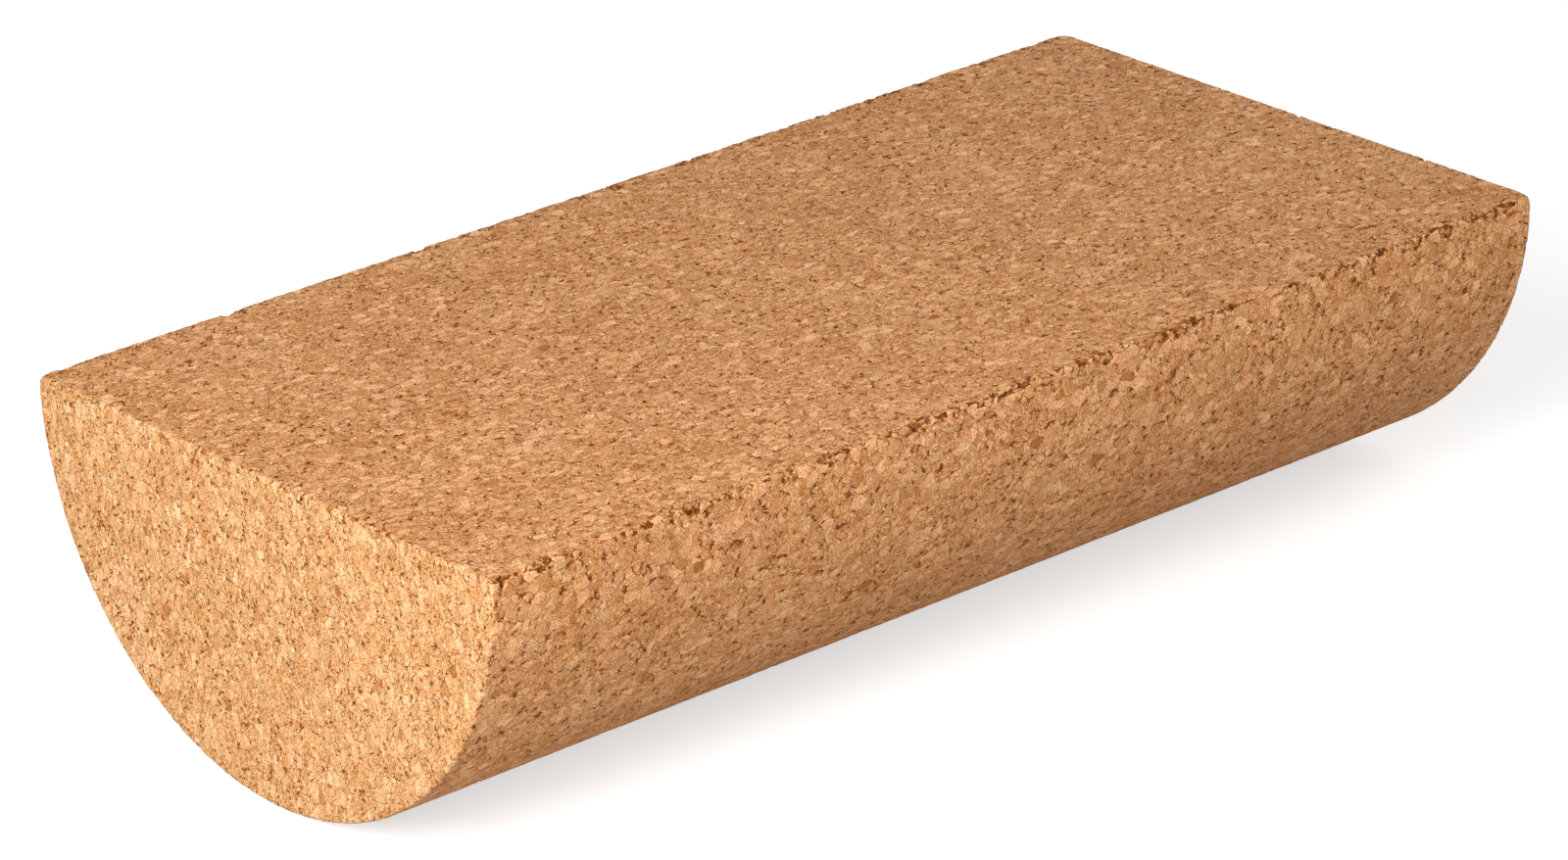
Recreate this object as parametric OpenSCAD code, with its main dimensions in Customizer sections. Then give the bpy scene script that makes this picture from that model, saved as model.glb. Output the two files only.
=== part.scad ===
/* [Block] */
// Length of the block along its rolling line
block_l = 300; // [120:1:600]
// Height from the rolling line up to the standing face
block_h = 75; // [40:1:110]
// Diameter of the round barrel that rocks on the floor
barrel_d = 150; // [110:1:260]

/* [Sanded arrises] */
// Radius on the two long edges of the standing face
long_edge_r = 1.2; // [0.4:0.1:8]
// Radius on the two end edges of the standing face
end_edge_r = 1.2; // [0.4:0.1:8]
// Bevel on the half-round rims of the two ends
rim_bevel = 0.8; // [0.4:0.1:8]

/* [Hidden] */
$fn = 96;
SIDES = [-1, 1];
cork_colour = [0.80, 0.58, 0.40];
barrel_r = barrel_d / 2;
// Cuts run this far past the faces that they cross
overrun = 5;
// The long edge's rounding stands this far through the barrel, so that the two cross on a clean line
blend_over = 0.01;
// Centre of that rounding, which touches the standing face from below
blend_reach = barrel_r - long_edge_r + blend_over;
long_edge_z = block_h - long_edge_r;
long_edge_y = sqrt(blend_reach ^ 2 - (long_edge_z - barrel_r) ^ 2);
// Outward normal of the barrel where the rounding runs into it, as [across, up]
barrel_normal = [long_edge_y, long_edge_z - barrel_r] / blend_reach;

// Waste outside a rounded corner whose faces have the outward normals a and b, past the sharp corner
module corner_waste(centre, a, b, r) {
    reach = r / (1 + a * b) + overrun;
    translate(centre)
        difference() {
            polygon(reach * [[0, 0], a, a + b, b]);
            circle(r);
        }
}

// Half section of the turned log with its bevelled rims: radius across, length up
module log_section() {
    polygon([
        [0, -block_l / 2],
        [barrel_r - rim_bevel, -block_l / 2],
        [barrel_r, rim_bevel - block_l / 2],
        [barrel_r, block_l / 2 - rim_bevel],
        [barrel_r - rim_bevel, block_l / 2],
        [0, block_l / 2]
    ]);
}

// Whole round log, lying along X with its rolling line at Z = 0
module turned_log() {
    translate([0, 0, barrel_r])
        rotate([0, -90, 0])
            rotate_extrude()
                log_section();
}

// Everything above the standing face
module sawn_off() {
    translate([-block_l / 2 - overrun, -barrel_r - overrun, block_h])
        cube([block_l + 2 * overrun, barrel_d + 2 * overrun, barrel_d]);
}

// Waste along one long edge of the standing face
module long_edge_waste(side) {
    rotate([90, 0, 90])
        linear_extrude(block_l + 2 * overrun, center = true)
            corner_waste(
                [side * long_edge_y, long_edge_z],
                [0, 1],
                [side * barrel_normal.x, barrel_normal.y],
                long_edge_r
            );
}

// Waste along one end edge of the standing face
module end_edge_waste(side) {
    rotate([90, 0, 0])
        linear_extrude(barrel_d + 2 * overrun, center = true)
            corner_waste(
                [side * (block_l / 2 - end_edge_r), block_h - end_edge_r],
                [0, 1],
                [side, 0],
                end_edge_r
            );
}

// Half-round block of cork: a turned log sawn along its length, with every arris sanded
module cork_block() {
    color(cork_colour)
        difference() {
            turned_log();
            sawn_off();
            for (side = SIDES) {
                long_edge_waste(side);
                end_edge_waste(side);
            }
        }
}

cork_block();
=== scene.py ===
import math

import bpy
import numpy as np
from mathutils import Matrix, Quaternion, Vector
from mathutils.geometry import delaunay_2d_cdt


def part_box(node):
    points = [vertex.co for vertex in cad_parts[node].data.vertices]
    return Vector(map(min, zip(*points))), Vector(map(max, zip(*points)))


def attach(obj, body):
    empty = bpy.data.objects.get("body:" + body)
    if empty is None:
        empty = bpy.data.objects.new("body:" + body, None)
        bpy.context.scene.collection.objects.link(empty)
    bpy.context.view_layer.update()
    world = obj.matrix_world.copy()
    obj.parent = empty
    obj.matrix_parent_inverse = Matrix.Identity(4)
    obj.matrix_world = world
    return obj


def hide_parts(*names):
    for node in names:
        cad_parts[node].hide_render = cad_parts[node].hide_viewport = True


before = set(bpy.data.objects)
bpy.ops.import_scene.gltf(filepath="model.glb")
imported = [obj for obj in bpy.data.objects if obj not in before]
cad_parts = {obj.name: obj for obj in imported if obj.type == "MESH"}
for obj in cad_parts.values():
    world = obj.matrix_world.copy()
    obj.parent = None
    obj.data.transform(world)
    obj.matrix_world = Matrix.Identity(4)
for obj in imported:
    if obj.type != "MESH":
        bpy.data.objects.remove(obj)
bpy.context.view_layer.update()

# Block, in millimetres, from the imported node
MM = 0.001
block_low, block_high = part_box("cork_block")
block_length = (block_high.x - block_low.x) / MM
# The standing face lies on the axis of the barrel, so the height is also the barrel's radius
barrel_radius = (block_high.z - block_low.z) / MM
# Roundings that sanding leaves on the arrises, before they crumble
long_edge_radius = 0.9
rim_radius = 0.7

# Mesh spacing in millimetres: on the faces, beside an arris, and how wide the finer band is
FACE_SPACING = 0.75
ARRIS_SPACING = 0.4
FINE_BAND = 5.0
# Points that round an arris between its two faces, and samples that a graded spacing is worked out from
ROUND_STEPS = 3
GRADING_SAMPLES = 4001
# For the triangles of an end: distance at which points are the same, and the kind that stays in the outline
SAME_POINT = 1e-6
INSIDE_ONLY = 1
# Room between the pieces of the unrolled surface, and the side of the sheet that they lie on, in millimetres
ISLAND_GAP = 4.0
SHEET_SIDE = 400.0

# Granules, in millimetres: cell sizes from small to large, and how many of the larger cells stay whole
SMALL_GRANULE = 0.85
LARGER_GRANULES = ((1.5, 0.55), (2.8, 0.40))
# Pressing flattens the granules across the block
PRESSED = (1.0, 1.55, 1.0)
# What bends the granules' outlines: the size of each bend and how far it reaches
WANDERINGS = ((14.0, 2.5), (1.1, 0.7))
# Gaps between granules, on the sanded faces and on the sawn ends: the size of the noise that opens them,
# the level up to which it leaves them shut, and the half width that they gain above it
SANDED_GAPS = (1.6, 0.535, 0.90)
SAWN_GAPS = (0.8, 0.565, 2.00)
# Half width that gaps gain on an arris that crumbles, and how far in from it
ARRIS_GAP = 0.13
ARRIS_GAP_REACH = 1.0
# How softly a gap begins, and how deep it is
GAP_SOFTNESS = 0.07
GAP_DEPTH = 0.3
# Highest step between neighbouring granules, and how far each is tilted
GRANULE_STEP = 0.14
GRANULE_TILT = 0.11

# Arrises, in millimetres: how far in from one the loss runs aslant, and the depth and reach of worn corners
LOSS_REACH = 2.5
CORNER_WEAR = 0.8
CORNER_REACH = 1.2
# An arris crumbles in patches of this size, which begin and are at their worst at these levels of noise
CRUMBLE_PATCH = 8.0
PATCH_LEVELS = (0.40, 0.62)
# Outside a patch and at its worst: how far in granules break out, and the share of them that does on the edge
CRUMBLE_REACH = (0.6, 2.2)
CRUMBLE_SHARE = (0.3, 0.65)
# How softly a granule begins to break out
CRUMBLE_SOFTNESS = 0.1
# Depth of the bowl that a lost granule leaves, and how far in its wall slopes
CRUMBLE_DEPTH = 1.7
BOWL_WALL = 0.45
# How readily an arris crumbles, by the face that it doesn't touch: standing face, barrel, end
CRUMBLING = (0.15, 0.4, 1.0)
END_FACE = 2

# Finer octaves that noise has, in patches and in grain, and the middle of its three numbers
PATCH_DETAIL = 1.0
GRAIN_DETAIL = 2.0
MIDDLE = (0.5, 0.5, 0.5)


class Graph:
    """Writes a node tree. The kinds of node used here work alike in a geometry tree and in a material."""

    def __init__(self, tree):
        self.tree = tree
        self.in_material = tree.type == "SHADER"

    def feed(self, socket, value):
        if isinstance(value, bpy.types.NodeSocket):
            self.tree.links.new(value, socket)
        else:
            socket.default_value = value

    def add(self, kind, inputs=(), **settings):
        node = self.tree.nodes.new(kind)
        for name, value in settings.items():
            setattr(node, name, value)
        for name, value in dict(inputs).items():
            self.feed(node.inputs[name], value)
        return node

    def math(self, operation, *values, clamp=False):
        node = self.add("ShaderNodeMath", operation=operation, use_clamp=clamp)
        for socket, value in zip(node.inputs, values):
            self.feed(socket, value)
        return node.outputs[0]

    def vector(self, operation, *values, result="Vector"):
        node = self.add("ShaderNodeVectorMath", operation=operation)
        for socket, value in zip(node.inputs, values):
            self.feed(socket, value)
        return node.outputs[result]

    def scaled(self, vector, factor):
        node = self.add("ShaderNodeVectorMath", {"Scale": factor}, operation="SCALE")
        self.feed(node.inputs["Vector"], vector)
        return node.outputs["Vector"]

    def ramp(self, value, low, high, to_low=0.0, to_high=1.0):
        limits = {"From Min": low, "From Max": high, "To Min": to_low, "To Max": to_high}
        node = self.add("ShaderNodeMapRange", {"Value": value, **limits}, interpolation_type="SMOOTHSTEP")
        return node.outputs["Result"]

    def mix(self, factor, a, b, kind="FLOAT"):
        first = {"FLOAT": 2, "VECTOR": 4}[kind]
        node = self.add("ShaderNodeMix", {"Factor": factor}, data_type=kind)
        self.feed(node.inputs[first], a)
        self.feed(node.inputs[first + 1], b)
        return node.outputs[first // 2 - 1]

    def attribute(self, name, kind="FLOAT"):
        if self.in_material:
            node = self.add("ShaderNodeAttribute", attribute_name=name)
            return node.outputs["Fac" if kind == "FLOAT" else "Vector"]
        node = self.add("GeometryNodeInputNamedAttribute", {"Name": name}, data_type=kind)
        return node.outputs["Attribute"]

    def noise(self, place, size, detail=0.0):
        return self.add("ShaderNodeTexNoise", {"Vector": place, "Scale": 1 / size, "Detail": detail})

    def stops(self, value, stops):
        node = self.add("ShaderNodeValToRGB", {"Fac": value})
        elements = node.color_ramp.elements
        for k, (position, colour) in enumerate(stops):
            stop = elements[k] if k < len(elements) else elements.new(position)
            stop.position = position
            stop.color = (*colour, 1.0)
        return node.outputs["Color"]

    def parts(self, vector):
        return self.add("ShaderNodeSeparateXYZ", {"Vector": vector}).outputs

    def length(self, vector):
        return self.vector("LENGTH", vector, result="Value")

    def dot(self, a, b):
        return self.vector("DOT_PRODUCT", a, b, result="Value")


class Granules:
    """The pressed granule at a point: its three random numbers, its centre and the distance to its border."""

    def __init__(self, graph):
        self.graph = graph
        self.rest = graph.attribute("rest_place", "FLOAT_VECTOR")
        place = self.rest
        for size, reach in WANDERINGS:
            wander = graph.vector("SUBTRACT", graph.noise(self.rest, size).outputs["Color"], MIDDLE)
            place = graph.vector("ADD", place, graph.scaled(wander, reach))
        self.place = graph.vector("MULTIPLY", place, PRESSED)
        chances, centre, border = self.cells(SMALL_GRANULE)
        for size, whole in LARGER_GRANULES:
            own_chances, own_centre, own_border = self.cells(size)
            kept = graph.math("LESS_THAN", graph.parts(own_chances)[2], whole)
            own_chances = graph.vector("DIVIDE", own_chances, (1.0, 1.0, whole))
            chances = graph.mix(kept, chances, own_chances, "VECTOR")
            centre = graph.mix(kept, centre, own_centre, "VECTOR")
            border = graph.mix(kept, graph.math("MINIMUM", border, own_border), own_border)
        self.tone, self.level, self.hold = graph.parts(chances)
        self.chances = chances
        self.centre = centre
        self.border = border

    def cells(self, size):
        """Cells of one size: their random numbers, their centres and the distance to their borders."""
        graph = self.graph
        shared = {"Vector": self.place, "Scale": 1 / size}
        cell = graph.add("ShaderNodeTexVoronoi", shared, feature="F1").outputs
        edge = graph.add("ShaderNodeTexVoronoi", shared, feature="DISTANCE_TO_EDGE").outputs
        return cell["Color"], cell["Position"], graph.math("MULTIPLY", edge["Distance"], size)

    def growth(self):
        """Millimetres along the growth of the bark in a granule, which lies another way in each."""
        graph = self.graph
        way = graph.vector("NORMALIZE", graph.vector("SUBTRACT", self.chances, MIDDLE))
        return graph.dot(graph.vector("SUBTRACT", self.place, self.centre), way)

    def near_arris(self, reach):
        """How readily the arris crumbles beside a point, falling off over a reach in millimetres."""
        graph = self.graph
        fall = graph.math("DIVIDE", graph.attribute("from_arris"), graph.math("MULTIPLY", reach, -1.0))
        return graph.math("MULTIPLY", graph.math("EXPONENT", fall), graph.attribute("crumbling"))

    def gap(self):
        """From 0 to 1, how far a point lies in one of the gaps that open here and there between granules."""
        graph = self.graph
        openings = []
        for size, shut, width in (SANDED_GAPS, SAWN_GAPS):
            opened = graph.math("SUBTRACT", graph.noise(self.rest, size, GRAIN_DETAIL).outputs["Fac"], shut)
            openings.append(graph.math("MULTIPLY", opened, width))
        opening = graph.mix(graph.attribute("sawn"), *openings)
        opening = graph.math("MULTIPLY_ADD", self.near_arris(ARRIS_GAP_REACH), ARRIS_GAP, opening)
        return graph.math("DIVIDE", graph.math("SUBTRACT", opening, self.border), GAP_SOFTNESS, clamp=True)

    def lost(self):
        """From 0 to 1, how much of the granule at a point has broken out, which happens on the arrises."""
        graph = self.graph
        patch = graph.ramp(graph.noise(self.rest, CRUMBLE_PATCH, PATCH_DETAIL).outputs["Fac"], *PATCH_LEVELS)
        near = self.near_arris(graph.mix(patch, *CRUMBLE_REACH))
        chance = graph.math("MULTIPLY", near, graph.mix(patch, *CRUMBLE_SHARE))
        return graph.math("DIVIDE", graph.math("SUBTRACT", chance, self.hold), CRUMBLE_SOFTNESS, clamp=True)

    def depth(self):
        """How far the surface lies below the sanded face, in millimetres."""
        graph = self.graph
        bowl = graph.math("MULTIPLY", graph.ramp(self.border, 0.0, BOWL_WALL), CRUMBLE_DEPTH)
        broken = graph.math("MULTIPLY", self.lost(), bowl)
        step = graph.math("MULTIPLY", self.level, GRANULE_STEP)
        groove = graph.math("MULTIPLY", self.gap(), GAP_DEPTH)
        sunk = graph.math("ADD", graph.math("ADD", broken, step), groove)
        return graph.math("ADD", sunk, graph.attribute("worn"))


def running_total(steps):
    """What the steps add up to before each of them and after the last."""
    return np.concatenate(([0.0], np.cumsum(steps)))


def graded(span):
    """Stations from 0 to span, close together near both ends."""
    along = np.linspace(0.0, span, GRADING_SAMPLES)
    from_end = np.minimum(along, span - along)
    coarse = np.clip(from_end / FINE_BAND, 0.0, 1.0)
    spacing = ARRIS_SPACING + (FACE_SPACING - ARRIS_SPACING) * coarse
    count = running_total(np.diff(along) / spacing[1:])
    return np.interp(np.linspace(0.0, count[-1], round(count[-1]) + 1), count, along)


def half_round():
    """The block's closed outline, from its rolling line round by +Y: places and normals, as (across, up)."""
    centre_y = math.sqrt((barrel_radius - long_edge_radius) ** 2 - long_edge_radius ** 2)
    barrel_turn = math.acos(long_edge_radius / (barrel_radius - long_edge_radius))
    rise = graded(2 * barrel_turn * barrel_radius) / barrel_radius - barrel_turn
    barrel_normals = np.stack([np.sin(rise), -np.cos(rise)], 1)
    barrel = barrel_radius * barrel_normals + (0.0, barrel_radius)
    corner_turn = math.pi - barrel_turn
    steps = np.arange(1, ROUND_STEPS + 1) / (ROUND_STEPS + 1)
    bend = barrel_turn - math.pi / 2 + corner_turn * steps
    corner_normals = np.stack([np.cos(bend), np.sin(bend)], 1)
    corner = long_edge_radius * corner_normals + (centre_y, barrel_radius - long_edge_radius)
    across = centre_y - graded(2 * centre_y)
    top = np.stack([across, np.full_like(across, barrel_radius)], 1)
    top_normals = np.tile((0.0, 1.0), (len(top), 1))
    mirror = np.array((-1.0, 1.0))
    middle = np.argmin(np.abs(rise))

    def closed(round_part, corner_part, flat_part):
        other_corner = corner_part[::-1] * mirror
        return np.concatenate([round_part[middle:], corner_part, flat_part, other_corner, round_part[:middle]])

    return closed(barrel, corner, top), closed(barrel_normals, corner_normals, top_normals)


def swept_sides(outline, normals):
    """Rings of points along the block, drawn in at both rims, and where each ring lies when unrolled."""
    turn = np.linspace(0.0, math.pi / 2, ROUND_STEPS + 2)
    straight = graded(block_length - 2 * rim_radius) + rim_radius - block_length / 2
    rim = straight[-1] + rim_radius * np.sin(turn[1:])
    drawn_in = rim_radius * (1.0 - np.cos(turn[1:]))
    stations = np.concatenate([-rim[::-1], straight, rim])
    inset = np.concatenate([drawn_in[::-1], np.zeros_like(straight), drawn_in])
    rings = outline[None] - inset[:, None, None] * normals[None]
    along = np.broadcast_to(stations[:, None, None], rings.shape[:2] + (1,))
    unrolled = running_total(np.hypot(np.diff(stations), np.diff(inset)))
    return np.concatenate([along, rings], 2), unrolled


def end_fill(ring):
    """Triangles over one end: points inside the ring, and faces that count the ring's points first."""
    row_step = FACE_SPACING * math.sqrt(3) / 2
    rows = np.arange(0.0, barrel_radius, row_step)
    columns = np.arange(-barrel_radius, barrel_radius, FACE_SPACING)
    shifts = [FACE_SPACING / 2 * (k % 2) for k in range(len(rows))]
    spots = np.array([(y + shift, z) for shift, z in zip(shifts, rows) for y in columns])
    reach = barrel_radius - rim_radius - FACE_SPACING / 2
    from_axis = np.hypot(spots[:, 0], spots[:, 1] - barrel_radius)
    spots = spots[(from_axis < reach) & (spots[:, 1] < reach)]
    given = [Vector(place) for place in np.concatenate([ring, spots])]
    border = [list(range(len(ring)))]
    _, _, faces, sources, _, _ = delaunay_2d_cdt(given, [], border, INSIDE_ONLY, SAME_POINT)
    origin = [source[0] for source in sources]
    return spots, [[origin[k] for k in face] for face in faces]


def cork_mesh():
    """The smooth block: its points, its faces, and where each corner of a face lies on the unrolled sheet."""
    outline, normals = half_round()
    rings, unrolled = swept_sides(outline, normals)
    ring_count, ring_size = rings.shape[:2]
    points = [rings.reshape(-1, 3)]
    ring, spot = np.meshgrid(np.arange(ring_count - 1), np.arange(ring_size), indexing="ij")
    here = ring * ring_size + spot
    after = ring * ring_size + (spot + 1) % ring_size
    quads = np.stack([here, after, after + ring_size, here + ring_size], -1)
    faces = quads.reshape(-1, 4).tolist()
    running = running_total(np.linalg.norm(np.diff(outline, axis=0, append=outline[:1]), axis=1))
    corner_u = np.stack([running[spot], running[spot + 1], running[spot + 1], running[spot]], -1)
    corner_v = np.stack([unrolled[ring], unrolled[ring], unrolled[ring + 1], unrolled[ring + 1]], -1)
    layout = [np.stack([corner_u, corner_v], -1).reshape(-1, 2)]
    filled, triangles = end_fill(rings[0, :, 1:])
    count = ring_count * ring_size
    flat = np.concatenate([rings[0, :, 1:], filled])
    shelf = unrolled[-1] + ISLAND_GAP
    for end, first_ring in ((-1, 0), (1, (ring_count - 1) * ring_size)):
        points.append(np.insert(filled, 0, end * block_length / 2, axis=1))
        number = np.concatenate([np.arange(ring_size) + first_ring, np.arange(len(filled)) + count])
        count += len(filled)
        ordered = np.array(triangles)[:, ::end]
        faces += number[ordered].tolist()
        start = (barrel_radius * (2 + end) + ISLAND_GAP * (end + 1), shelf)
        layout.append((flat * (end, 1) + start)[ordered].reshape(-1, 2))
    return np.concatenate(points), faces, np.concatenate(layout)


def face_nearness(points):
    """How far points lie from the standing face, the barrel and the nearer end, and those faces' normals."""
    x, y, z = points.T
    from_axis = np.hypot(y, z - barrel_radius)
    # Near the axis the barrel is far away and its normal doesn't count
    divisor = np.maximum(from_axis, 1.0)
    zero = np.zeros_like(x)
    distances = (barrel_radius - z, barrel_radius - from_axis, block_length / 2 - np.abs(x))
    normals = (
        np.stack([zero, zero, zero + 1], 1),
        np.stack([zero, y / divisor, (z - barrel_radius) / divisor], 1),
        np.stack([np.sign(x), zero, zero], 1),
    )
    return np.stack(distances), np.stack(normals)


def cork_block():
    """The smooth block as an object, with what the relief and the material need to know at each point."""
    points, faces, layout = cork_mesh()
    mesh = bpy.data.meshes.new("pressed_cork_block")
    mesh.from_pydata(points * MM, [], faces)
    mesh.shade_smooth()
    unrolled = mesh.uv_layers.new(name="OFBake")
    unrolled.data.foreach_set("uv", (layout / SHEET_SIDE).astype(np.float32).ravel())
    distances, normals = face_nearness(points)
    inward = -(np.exp(-distances / LOSS_REACH)[..., None] * normals).sum(0)
    inward /= np.linalg.norm(inward, axis=1, keepdims=True)
    _, from_arris, from_corner = np.sort(distances, axis=0)
    for name, kind, field, values in (
        ("rest_place", "FLOAT_VECTOR", "vector", points),
        ("inward", "FLOAT_VECTOR", "vector", inward),
        ("from_arris", "FLOAT", "value", from_arris),
        ("crumbling", "FLOAT", "value", np.array(CRUMBLING)[distances.argmax(0)]),
        ("worn", "FLOAT", "value", CORNER_WEAR * np.exp(-from_corner / CORNER_REACH)),
        ("sawn", "FLOAT", "value", (distances.argmin(0) == END_FACE) * 1.0),
    ):
        stored = mesh.attributes.new(name, kind, "POINT")
        stored.data.foreach_set(field, values.astype(np.float32).ravel())
    block = bpy.data.objects.new("pressed_cork_block", mesh)
    bpy.context.scene.collection.objects.link(block)
    return block


def relief_tree():
    """Geometry nodes that sink each point to the depth that its granule has."""
    tree = bpy.data.node_groups.new("Cork relief", "GeometryNodeTree")
    for way in ("INPUT", "OUTPUT"):
        tree.interface.new_socket("Geometry", in_out=way, socket_type="NodeSocketGeometry")
    graph = Graph(tree)
    depth = graph.math("MULTIPLY", Granules(graph).depth(), MM)
    offset = graph.scaled(graph.attribute("inward", "FLOAT_VECTOR"), depth)
    given = graph.add("NodeGroupInput").outputs[0]
    moved = graph.add("GeometryNodeSetPosition", {"Geometry": given, "Offset": offset})
    graph.feed(graph.add("NodeGroupOutput").inputs[0], moved.outputs[0])
    return tree


def shape(piece, tree):
    """Moves the piece's points by a geometry tree, for good."""
    piece.modifiers.new(tree.name, "NODES").node_group = tree
    depsgraph = bpy.context.evaluated_depsgraph_get()
    shaped = bpy.data.meshes.new_from_object(piece.evaluated_get(depsgraph), depsgraph=depsgraph)
    piece.modifiers.clear()
    piece.data = shaped


# Brightness of the granules by their share, from the rare dark bits of bark to the palest
GRANULE_LEVELS = (
    (0.00, 0.52), (0.02, 0.82), (0.15, 1.01), (0.50, 1.13), (0.85, 1.215), (0.96, 1.32), (1.00, 1.47),
)
# Linear colour of cork at a brightness of 1, and how each channel follows brightness: the darker, the redder
CORK_COLOUR = (0.596, 0.288, 0.118)
DARK_POWERS = (0.62, 1.13, 1.95)
PALE_POWERS = (0.74, 1.09, 1.65)
# Brightnesses that the colour is worked out for
BRIGHTNESSES = (0.15, 0.30, 0.50, 0.75, 1.00, 1.30, 1.60)
PALEST = BRIGHTNESSES[-1]
# Painted light: the sawn ends are tinted paler and less red than the sanded faces, as their strong light
# washes them out
SAWN_PAINTED_LIGHT_TINT = (0.965, 1.065, 1.125)
# How brightness varies inside a granule, by its grain, the growth rings of the bark and a painted drift from
# light to shade across it, as if its tilted face caught the light
GRAIN_SIZE = 0.38
GRAIN_LEVELS = (0.25, 0.75)
GRAIN_SHADE = 0.42
GRAIN_HEIGHT = 0.32
RING_SPACING = 0.55
RING_SHADE = 0.04
TILT_PAINTED_SHADE = 0.07
# How brightness varies over the block
MOTTLE_SIZE = 22.0
MOTTLE_LEVELS = (0.3, 0.7)
MOTTLE_SHADE = 0.05
# How wide a granule's dark border is, and how much darker borders, gaps and broken places are: borders by dark
# binder and painted shade, gaps by their brown and painted shade in the crevice, broken places by redder fresh
# cork and painted shade in the hollow
BORDER_WIDTH = 0.18
BORDER_BINDER_AND_PAINTED_SHADE = 0.28
GAP_BROWN_AND_PAINTED_SHADE = 0.75
BROKEN_CORK_AND_PAINTED_SHADE = 0.42
# Further painted shade in the hollow of a broken place, which leaves its hue alone
BROKEN_PAINTED_SHADE = 0.30
# Red, green and blue of the granules at both ends of two scales, warm to cool and yellow to pink
WARM_TO_COOL = ((1.0, 0.93, 0.90), (1.0, 1.07, 1.10))
YELLOW_TO_PINK = ((1.0, 1.0, 0.93), (1.0, 1.0, 1.07))
# Cork is matt: levels of the grain between which it roughens, the roughness at both, and how little it shines
ROUGH_LEVELS = (0.2, 0.8)
ROUGHNESS = (0.74, 0.92)
SHINE = 0.06


def cork_colour(brightness):
    """Linear colour of cork at a brightness."""
    powers = DARK_POWERS if brightness < 1 else PALE_POWERS
    return [share * brightness ** power for share, power in zip(CORK_COLOUR, powers)]


def cork_material():
    """Colour, roughness and fine bumps of cork, from the same granules as the relief."""
    material = bpy.data.materials.new("pressed cork")
    material.use_nodes = True
    tree = material.node_tree
    graph = Graph(tree)
    shader = tree.nodes["Principled BSDF"]
    granules = Granules(graph)
    grain = graph.noise(granules.rest, GRAIN_SIZE, GRAIN_DETAIL).outputs["Fac"]
    mottle = graph.noise(granules.rest, MOTTLE_SIZE, GRAIN_DETAIL).outputs["Fac"]
    growth = granules.growth()
    rings = graph.math("SINE", graph.math("MULTIPLY", growth, 2 * math.pi / RING_SPACING))
    gap = granules.gap()
    lost = granules.lost()

    light = graph.stops(granules.tone, [(at, (level,) * 3) for at, level in GRANULE_LEVELS])
    for varied in (
        graph.ramp(grain, *GRAIN_LEVELS, 1 - GRAIN_SHADE, 1 + GRAIN_SHADE),
        graph.ramp(mottle, *MOTTLE_LEVELS, 1 - MOTTLE_SHADE, 1 + MOTTLE_SHADE),
        graph.math("MULTIPLY_ADD", rings, RING_SHADE, 1.0),
        # Painted light and shade: each granule grows lighter towards one side and darker towards the other, as
        # if its tilted face caught the light
        graph.math("MULTIPLY_ADD", growth, TILT_PAINTED_SHADE, 1.0),
        # Dark binder and painted shade along the borders between granules
        graph.ramp(granules.border, 0.0, BORDER_WIDTH, 1 - BORDER_BINDER_AND_PAINTED_SHADE, 1.0),
        # Painted shade in the gaps, on top of their darker brown
        graph.math("MULTIPLY_ADD", gap, -GAP_BROWN_AND_PAINTED_SHADE, 1.0),
        # Broken places: redder fresh cork and painted shade in the hollow
        graph.math("MULTIPLY_ADD", lost, -BROKEN_CORK_AND_PAINTED_SHADE, 1.0),
    ):
        light = graph.math("MULTIPLY", light, varied)
    colours = [(level / PALEST, cork_colour(level)) for level in BRIGHTNESSES]
    colour = graph.stops(graph.math("DIVIDE", light, PALEST), colours)
    # Painted light: the sawn ends are tinted paler and less red, as strong light washes them out
    tint = graph.mix(graph.attribute("sawn"), (1.0, 1.0, 1.0), SAWN_PAINTED_LIGHT_TINT, "VECTOR")
    tint = graph.vector("MULTIPLY", tint, graph.mix(granules.hold, *WARM_TO_COOL, "VECTOR"))
    tint = graph.vector("MULTIPLY", tint, graph.mix(granules.level, *YELLOW_TO_PINK, "VECTOR"))
    colour = graph.vector("MULTIPLY", colour, tint)
    # Painted shade in the hollow of a broken place, without a change of hue
    colour = graph.scaled(colour, graph.math("MULTIPLY_ADD", lost, -BROKEN_PAINTED_SHADE, 1.0))
    graph.feed(shader.inputs["Base Color"], colour)
    graph.feed(shader.inputs["Roughness"], graph.ramp(grain, *ROUGH_LEVELS, *ROUGHNESS))
    shader.inputs["Specular IOR Level"].default_value = SHINE

    height = graph.math("MULTIPLY", growth, GRANULE_TILT)
    height = graph.math("MULTIPLY_ADD", grain, GRAIN_HEIGHT, height)
    height = graph.math("MULTIPLY_ADD", gap, -GAP_DEPTH, height)
    bump = graph.add("ShaderNodeBump", {"Height": height, "Distance": MM})
    graph.feed(shader.inputs["Normal"], bump.outputs["Normal"])
    return material


# Camera of the photograph: turned from +Y towards +X, looking down and tipped sideways, in degrees
VIEW_TURN = 41.37
VIEW_FALL = 22.89
VIEW_TIP = -1.25
# How far away it stands and the place that it looks at, in metres, and its lens and sensor, in millimetres
VIEW_DISTANCE = 1.6093
VIEW_AIM = Vector((-0.0118, -0.0061, 0.0457))
VIEW_LENS = 170.8
SENSOR_WIDTH = 36.0


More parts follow.
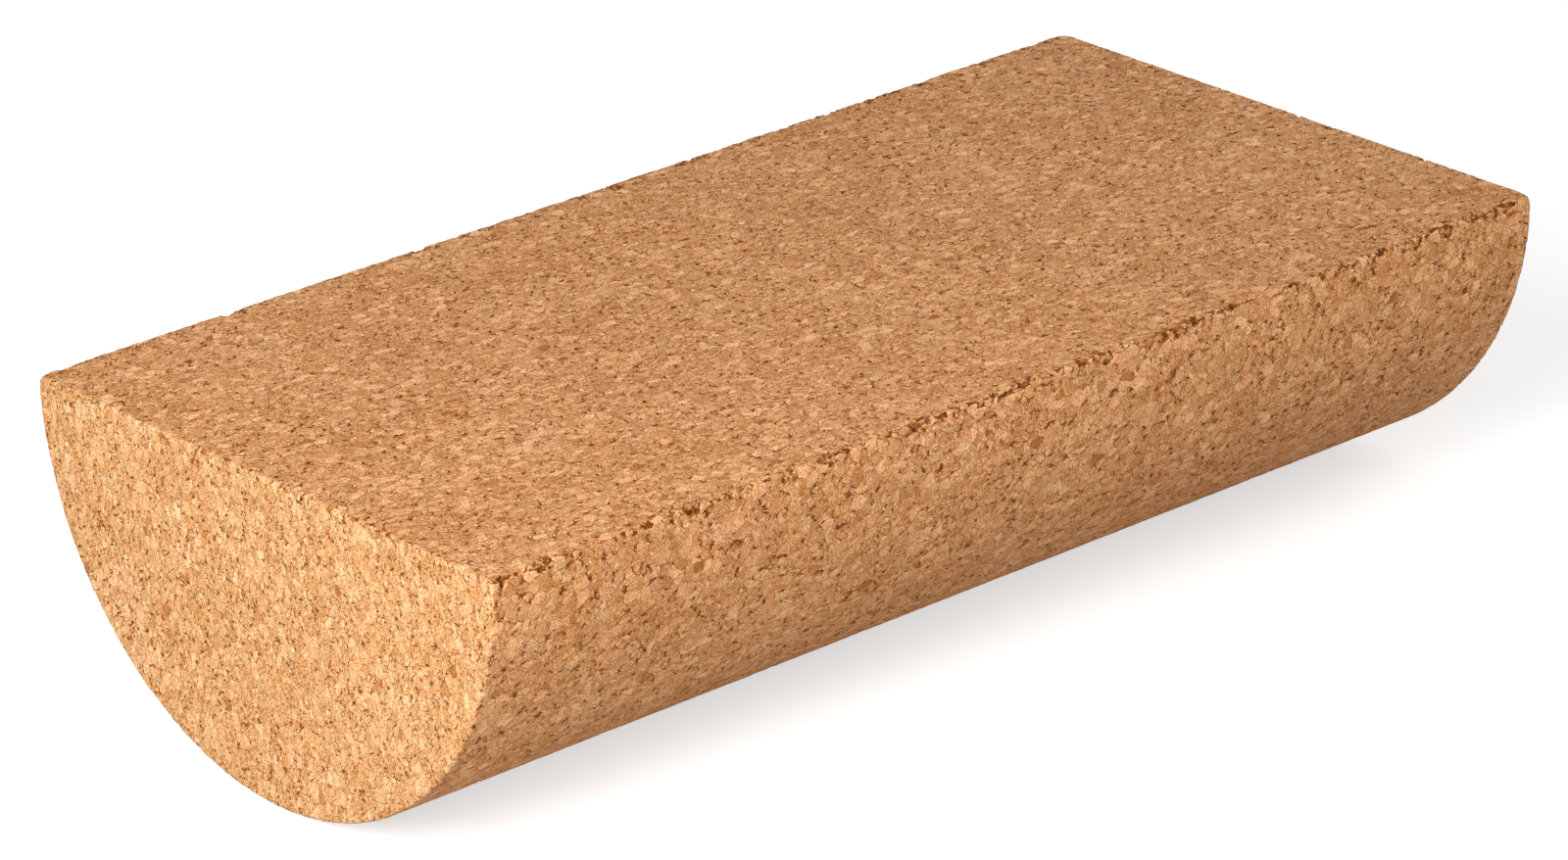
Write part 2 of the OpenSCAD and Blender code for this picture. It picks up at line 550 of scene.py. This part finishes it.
def camera():
    """Stands the camera where the photograph was taken from."""
    turn, fall = math.radians(VIEW_TURN), math.radians(VIEW_FALL)
    level = math.cos(fall)
    forward = Vector((math.sin(turn) * level, math.cos(turn) * level, -math.sin(fall)))
    facing = forward.to_track_quat("-Z", "Y") @ Quaternion((0.0, 0.0, 1.0), math.radians(VIEW_TIP))
    lens = bpy.data.cameras.new("photo camera")
    lens.lens = VIEW_LENS
    lens.sensor_width = SENSOR_WIDTH
    eye = bpy.data.objects.new("photo camera", lens)
    eye.matrix_world = Matrix.Translation(VIEW_AIM - VIEW_DISTANCE * forward) @ facing.to_matrix().to_4x4()
    bpy.context.scene.collection.objects.link(eye)
    bpy.context.scene.camera = eye


# Softboxes: name, place, aim and side in metres, and power in watts
SOFTBOXES = (
    ("key", (-0.80, -0.37, 0.54), (-0.10, 0.0, 0.05), 0.5, 13.4),
    ("fill", (0.35, -1.08, 0.13), (0.0, 0.0, 0.04), 0.8, 3.6),
    ("back", (0.95, 0.75, 0.12), (0.1, 0.0, 0.04), 0.2, 4.2),
)


def softbox(name, place, aim, side, power):
    """A square lamp that the camera doesn't see."""
    lamp = bpy.data.lights.new(name, "AREA")
    lamp.shape = "SQUARE"
    lamp.size = side
    lamp.energy = power
    stand = bpy.data.objects.new(name, lamp)
    stand.location = place
    stand.rotation_mode = "QUATERNION"
    stand.rotation_quaternion = (Vector(aim) - Vector(place)).to_track_quat("-Z", "Y")
    stand.visible_camera = False
    bpy.context.scene.collection.objects.link(stand)


# Floor: how far it reaches in metres, and its colour
FLOOR_REACH = 6.0
FLOOR_COLOUR = (0.55, 0.55, 0.55, 1.0)
# What it adds towards the camera alone, so that it shows as white: near the block and far from it, in metres
FLOOR_LIFT = (0.62, 0.80)
LIFT_REACH = (0.4, 1.6)
WHITE = (1.0, 1.0, 1.0, 1.0)
# Strength of the light from all around
AMBIENT = 0.42


def background_rays(graph):
    """1 for the rays that show the background: straight to the camera, in a gloss or through glass."""
    path = graph.add("ShaderNodeLightPath").outputs
    mirrored = graph.math("MAXIMUM", path["Is Glossy Ray"], path["Is Transmission Ray"])
    return graph.math("MAXIMUM", path["Is Camera Ray"], mirrored)


def floor():
    """A pale floor that keeps the block's shadow and shows as white around it."""
    corners = [(x * FLOOR_REACH, y * FLOOR_REACH, 0) for x, y in ((-1, -1), (1, -1), (1, 1), (-1, 1))]
    mesh = bpy.data.meshes.new("floor")
    mesh.from_pydata(corners, [], [(0, 1, 2, 3)])
    ground = bpy.data.objects.new("floor", mesh)
    bpy.context.scene.collection.objects.link(ground)
    material = bpy.data.materials.new("pale floor")
    material.use_nodes = True
    graph = Graph(material.node_tree)
    shader = material.node_tree.nodes["Principled BSDF"]
    shader.inputs["Base Color"].default_value = FLOOR_COLOUR
    shader.inputs["Roughness"].default_value = 1.0
    shader.inputs["Specular IOR Level"].default_value = 0.0
    shader.inputs["Emission Color"].default_value = WHITE
    place = graph.add("ShaderNodeTexCoord").outputs["Object"]
    lift = graph.ramp(graph.length(place), *LIFT_REACH, *FLOOR_LIFT)
    graph.feed(shader.inputs["Emission Strength"], graph.math("MULTIPLY", background_rays(graph), lift))
    mesh.materials.append(material)


def surroundings():
    """Even light from all around, which shows as white."""
    world = bpy.data.worlds.new("studio")
    world.use_nodes = True
    graph = Graph(world.node_tree)
    shown = world.node_tree.nodes["Background"]
    shown.inputs["Color"].default_value = WHITE
    graph.feed(shown.inputs["Strength"], graph.mix(background_rays(graph), AMBIENT, 1.0))
    bpy.context.scene.world = world


bpy.context.scene.view_settings.view_transform = "Standard"
camera()
floor()
surroundings()
for lamp in SOFTBOXES:
    softbox(*lamp)

block = cork_block()
shape(block, relief_tree())
block.data.materials.clear()
block.data.materials.append(cork_material())
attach(block, "root")
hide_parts("cork_block")
